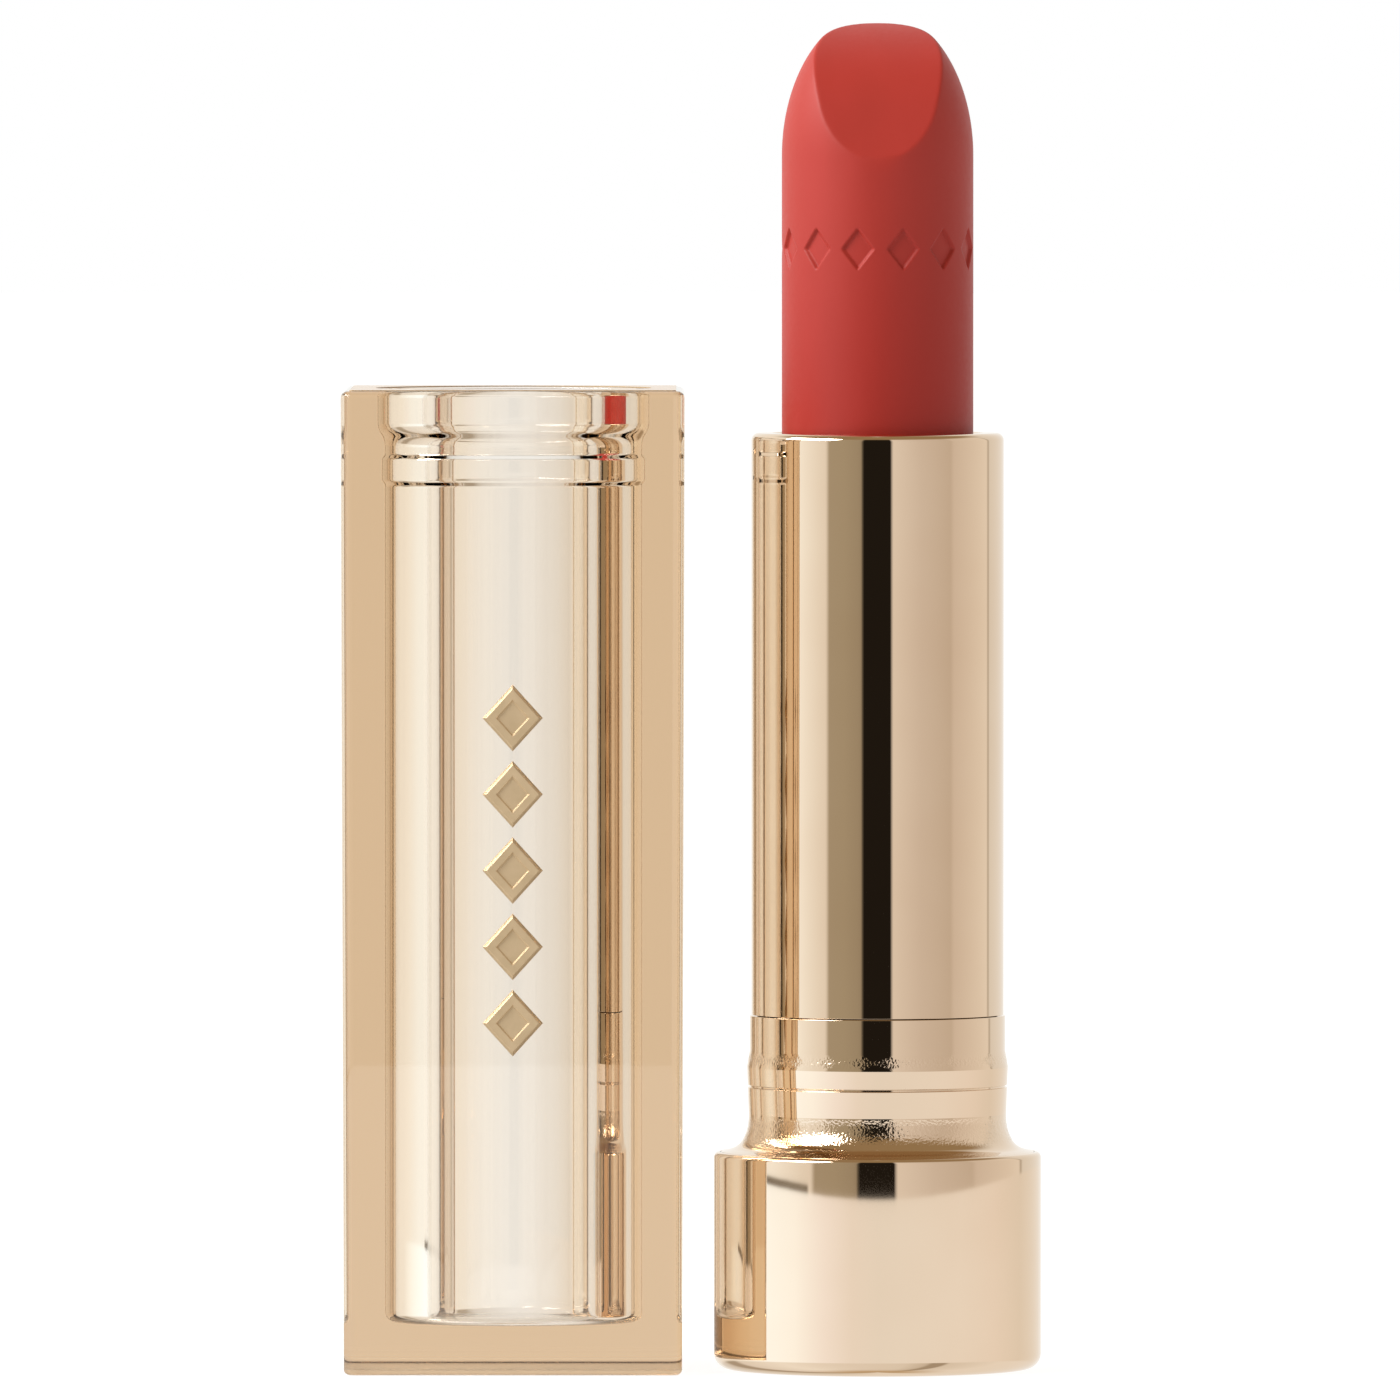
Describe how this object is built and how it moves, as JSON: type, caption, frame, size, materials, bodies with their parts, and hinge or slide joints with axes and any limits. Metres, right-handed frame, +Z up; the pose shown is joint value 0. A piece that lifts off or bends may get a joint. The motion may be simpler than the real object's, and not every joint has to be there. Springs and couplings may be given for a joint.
{
  "type": "lipstick case",
  "caption": "Twist-up lipstick: gold round case with a raised slanted coral-red bullet, and its square amber clear cap standing beside it.",
  "frame": {"origin": "middle of the underside of the round base, where it stands", "axes": "+Z up along the tube and bullet, the bullet's slanted cut and the cap's ornament face -Y, the cap stands on the -X side"},
  "size_m": [0.0442, 0.0237, 0.0851],
  "materials": {
    "gold_metal": "pale champagne gold, polished like a mirror",
    "label_film": "matte film, blank",
    "slug_steel": "plain turned steel",
    "white_plastic": "moulded, matte",
    "sleeve_plastic": "moulded, satin",
    "spiral_plastic": "moulded, satin",
    "silicone": "soft, matte",
    "cup_plastic": "metallised gold",
    "lipstick_wax": "coral-red wax, velvety matte",
    "amber_clear": "thick clear plastic with an amber tint, polished",
    "ornament": "satin champagne gold"
  },
  "bodies": {
    "base": {"base_shell": "gold_metal", "base_label": "label_film", "base_weight": "slug_steel", "base_insert": "white_plastic", "collar": "gold_metal", "inner_sleeve": "sleeve_plastic", "brake_ring": "silicone"},
    "tube": {"tube_shell": "gold_metal", "spiral_sleeve": "spiral_plastic"},
    "carrier": {"cup": "cup_plastic", "bullet": "lipstick_wax"},
    "cap": {"cap_block": "amber_clear", "cap_emblem": "ornament"}
  },
  "joints": [
    {"name": "tube_twist", "type": "hinge", "parent": "base", "child": "tube", "pos_m": [0, 0, 0.0224], "axis": [0, 0, 1], "range_deg": [0, 550.01]},
    {"name": "bullet_rise", "type": "slide", "parent": "base", "child": "carrier", "axis": [0, 0, 1], "range_m": [-0.0275, 0]},
    {"name": "cap_lift", "type": "slide", "parent": "base", "child": "cap", "axis": [0, 0, 1], "range_m": [0, 0.09]}
  ],
  "couplings": [
    {"joint": "tube_twist", "follows": "bullet_rise", "rad_per_m": -349.07}
  ]
}
